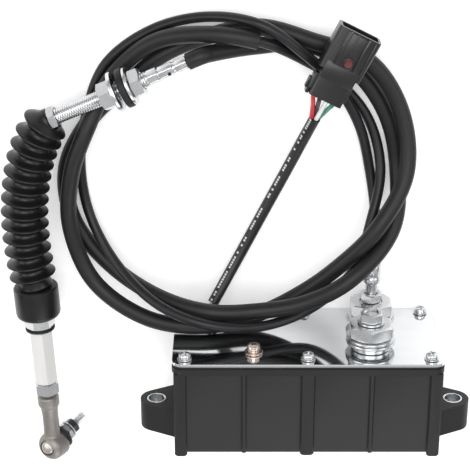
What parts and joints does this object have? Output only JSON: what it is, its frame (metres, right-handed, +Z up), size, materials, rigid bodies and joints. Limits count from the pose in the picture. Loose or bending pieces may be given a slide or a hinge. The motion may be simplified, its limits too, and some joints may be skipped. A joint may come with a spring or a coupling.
{
  "type": "engine governor actuator",
  "caption": "Electric throttle actuator: black plastic box with mounting lugs and steel cover, coiled push-pull cable to a bellows and ball-stud rod end, wired lead with connector.",
  "frame": {"origin": "on the table plane under the box, midway between the lugs and midway between the box's closed bottom and the tip of the cable fitting", "axes": "+X along the box from one lug to the other, +Y out of the steel cover plate, +Z up from the table through the box's thickness; the box lies on one long side"},
  "size_m": [0.2984, 0.3086, 0.079],
  "materials": {
    "black_plastic": "moulded, fine satin grain",
    "black_rubber": "dull moulded rubber",
    "cable_jacket": "extruded conduit jacket, semi-gloss",
    "shrink_sleeve": "heat-shrunk sleeve, soft sheen",
    "zinc_steel": "bright zinc plate",
    "polished_steel": "mirror-like plate",
    "cast_steel": "grey cast and blasted surface",
    "satin_steel": "light satin bar",
    "brass": "cut teeth, bare",
    "red_vinyl": "wire insulation",
    "black_vinyl": "wire insulation",
    "white_vinyl": "wire insulation",
    "green_vinyl": "wire insulation",
    "seal_red": "soft seal",
    "board_green": "lacquered board"
  },
  "bodies": {
    "actuator": {"bellows": "black_rubber", "bracket_screw": "zinc_steel", "cable_adapter": "zinc_steel", "cable_bare": "cable_jacket", "cable_end_fitting": "zinc_steel", "cable_lock_nut": "zinc_steel", "cable_lower_washer": "zinc_steel", "cable_nut": "zinc_steel", "cable_sleeve": "shrink_sleeve", "cable_upper_washer": "zinc_steel", "circuit_board": "board_green", "clamp_nut": "zinc_steel", "connector": "black_plastic", "connector_seal": "seal_red", "cover_plate": "polished_steel", "cover_screw_front_left": "zinc_steel", "cover_screw_front_mid": "zinc_steel", "cover_screw_front_right": "zinc_steel", "cover_screw_rear_left": "zinc_steel", "cover_screw_rear_mid": "zinc_steel", "cover_screw_rear_right": "zinc_steel", "gasket": "black_rubber", "gear_frame": "satin_steel", "housing": "black_plastic", "hub_fitting": "zinc_steel", "hub_nut_inner": "zinc_steel", "hub_nut_outer": "zinc_steel", "hub_rubber_washer": "black_rubber", "hub_thick_washer": "zinc_steel", "hub_thin_washer": "zinc_steel", "lead_grommet": "black_rubber", "lead_sleeve": "shrink_sleeve", "lug_bush_left": "zinc_steel", "lug_bush_right": "zinc_steel", "motor": "zinc_steel", "plate_wires": "red_vinyl", "plug_bolt": "zinc_steel", "plug_washer": "zinc_steel", "plugged_adapter": "zinc_steel", "plugged_lower_washer": "zinc_steel", "plugged_nut": "zinc_steel", "plugged_upper_washer": "zinc_steel", "position_sensor": "black_plastic", "wire_black": "black_vinyl", "wire_green": "green_vinyl", "wire_red": "red_vinyl", "wire_white": "white_vinyl"},
    "rod": {"bellows_cup": "black_rubber", "cup_nut": "zinc_steel", "seal_ring": "black_rubber", "hex_bar": "satin_steel", "jam_nut": "zinc_steel", "rod_end": "cast_steel", "core_wire": "zinc_steel"},
    "stud": {"ball_stud": "zinc_steel", "stud_seal": "black_rubber", "stud_nut": "zinc_steel"},
    "rack": {"rack": "brass"},
    "gear": {"output_gear": "brass"},
    "pinion": {"motor_pinion": "brass"}
  },
  "joints": [
    {"name": "rod_slide", "type": "slide", "parent": "actuator", "child": "rod", "axis": [0.0471, -0.9989, 0], "range_m": [-0.012, 0.012], "deforming": ["bellows", "core_wire"]},
    {"name": "stud_swivel", "type": "hinge", "parent": "rod", "child": "stud", "pos_m": [-0.16908, -0.08057, 0.022], "axis": [-0.7741, 0.3034, -0.5556], "range_deg": [-5, 43], "deforming": ["stud_seal"]},
    {"name": "rack_slide", "type": "slide", "parent": "actuator", "child": "rack", "axis": [0, 1, 0], "range_m": [-0.012, 0.012]},
    {"name": "gear_spin", "type": "hinge", "parent": "actuator", "child": "gear", "pos_m": [0.02539, -0.0255, 0.0224], "axis": [0, 0, 1], "range_deg": [-50, 50]},
    {"name": "pinion_spin", "type": "hinge", "parent": "actuator", "child": "pinion", "pos_m": [-0.00011, -0.0255, 0.0224], "axis": [0, 0, 1], "range_deg": [-63, 63]}
  ],
  "couplings": [
    {"joint": "rack_slide", "follows": "rod_slide", "ratio": 1},
    {"joint": "gear_spin", "follows": "rod_slide", "rad_per_m": 71.429},
    {"joint": "pinion_spin", "follows": "rod_slide", "rad_per_m": -89.286}
  ]
}
